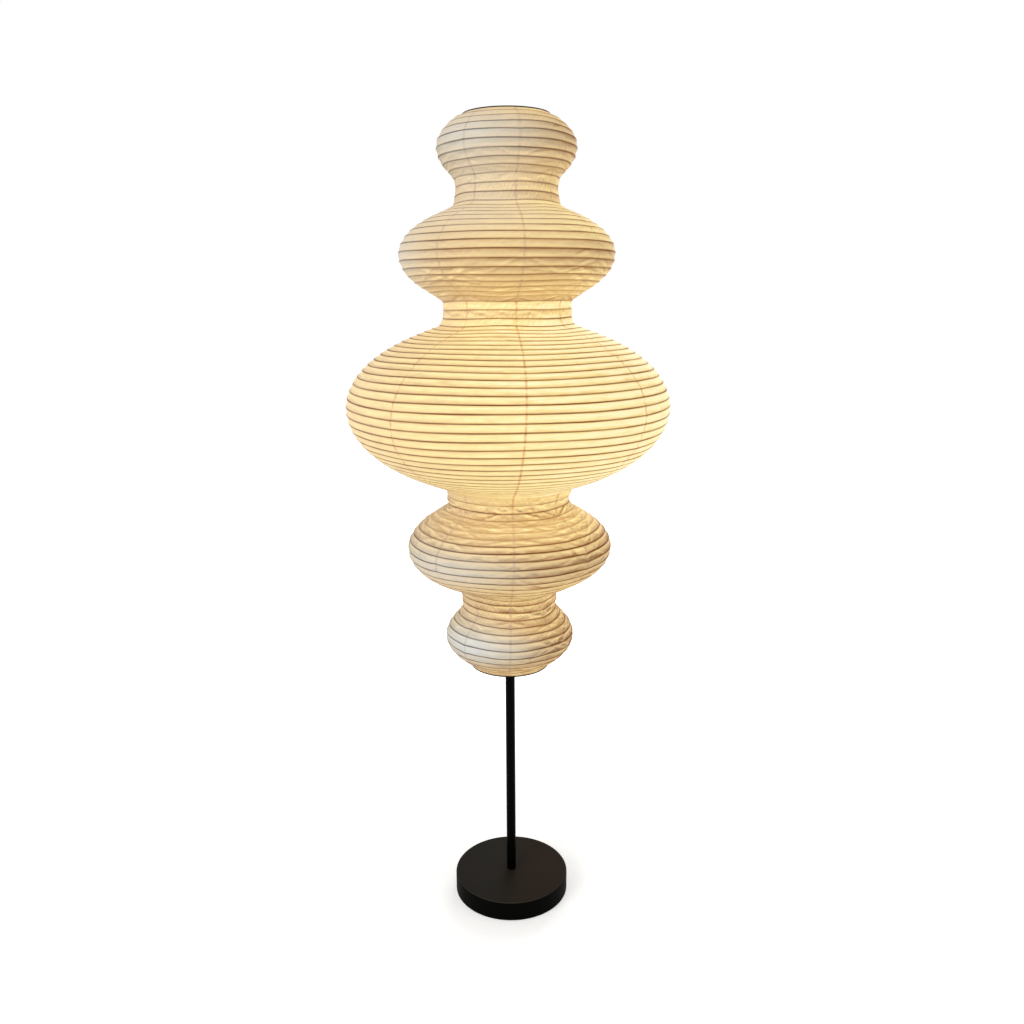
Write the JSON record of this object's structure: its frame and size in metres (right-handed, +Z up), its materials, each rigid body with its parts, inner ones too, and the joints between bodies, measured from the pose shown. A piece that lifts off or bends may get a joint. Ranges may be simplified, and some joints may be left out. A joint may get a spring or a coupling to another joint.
{
  "type": "floor lamp",
  "caption": "Floor lamp: a tall ribbed paper lantern with a wide middle bulge, hung on a slim black pole with a round weighted base; one bulb inside.",
  "frame": {"origin": "on the floor, on the axis of the pole, at the underside of the felt pad", "axes": "+Z up along the pole, -Y towards the viewer of the picture, +X towards the bulb's side"},
  "size_m": [0.602, 0.602, 1.5331],
  "materials": {
    "lantern_paper": "matte",
    "bamboo_rib": "matte",
    "black_steel": "satin",
    "plated_steel": "polished",
    "spring_steel": "satin",
    "cast_iron": "rough",
    "felt": "matte",
    "rubber": "matte",
    "black_plastic": "satin",
    "porcelain": "gloss",
    "brass": "satin",
    "black_insulator": "gloss",
    "white_plastic": "satin",
    "opal_globe": "satin"
  },
  "bodies": {
    "stand": {"felt_pad": "felt", "base_weight": "cast_iron", "base_cover": "black_steel", "base_stud": "plated_steel", "base_washer": "plated_steel", "base_lock_washer": "spring_steel", "base_nut": "plated_steel", "cord_gland": "rubber", "pole_foot": "plated_steel", "lower_pole": "black_steel", "pole_joiner": "black_steel", "upper_pole": "black_steel", "lower_spider": "black_steel", "collar_screw": "plated_steel", "pole_head": "plated_steel", "lamp_bracket": "black_steel", "rod_nut": "plated_steel", "lantern_rod": "black_steel", "rod_ferrule": "black_steel", "holder_nipple": "plated_steel", "nipple_nut": "plated_steel", "holder_cap": "black_plastic", "holder_core": "porcelain", "holder_sleeve": "brass", "holder_contact": "brass", "holder_skirt": "black_plastic"},
    "bulb": {"bulb_tip": "plated_steel", "bulb_insulator": "black_insulator", "bulb_cap": "plated_steel", "bulb_body": "white_plastic", "bulb_globe": "opal_globe"},
    "lantern": {"top_frame": "black_steel", "lower_ring": "black_steel", "paper_bottom_bulge": "lantern_paper", "paper_lower_bulge": "lantern_paper", "paper_main_bulge": "lantern_paper", "paper_upper_bulge": "lantern_paper", "paper_top_bulge": "lantern_paper", "ribs_bottom_bulge": "bamboo_rib", "ribs_lower_bulge": "bamboo_rib", "ribs_main_bulge": "bamboo_rib", "ribs_upper_bulge": "bamboo_rib", "ribs_top_bulge": "bamboo_rib"},
    "cap_nut": {"cap_nut": "black_steel"}
  },
  "joints": [
    {"name": "lantern_lift", "type": "slide", "parent": "stand", "child": "lantern", "axis": [0, 0, 1], "range_m": [0, 1.03]},
    {"name": "cap_nut_turn", "type": "hinge", "parent": "lantern", "child": "cap_nut", "pos_m": [0, 0, 1.516], "axis": [0, 0, 1], "continuous": true},
    {"name": "bulb_out", "type": "slide", "parent": "stand", "child": "bulb", "axis": [0, 0, 1], "range_m": [0, 0.045]}
  ]
}
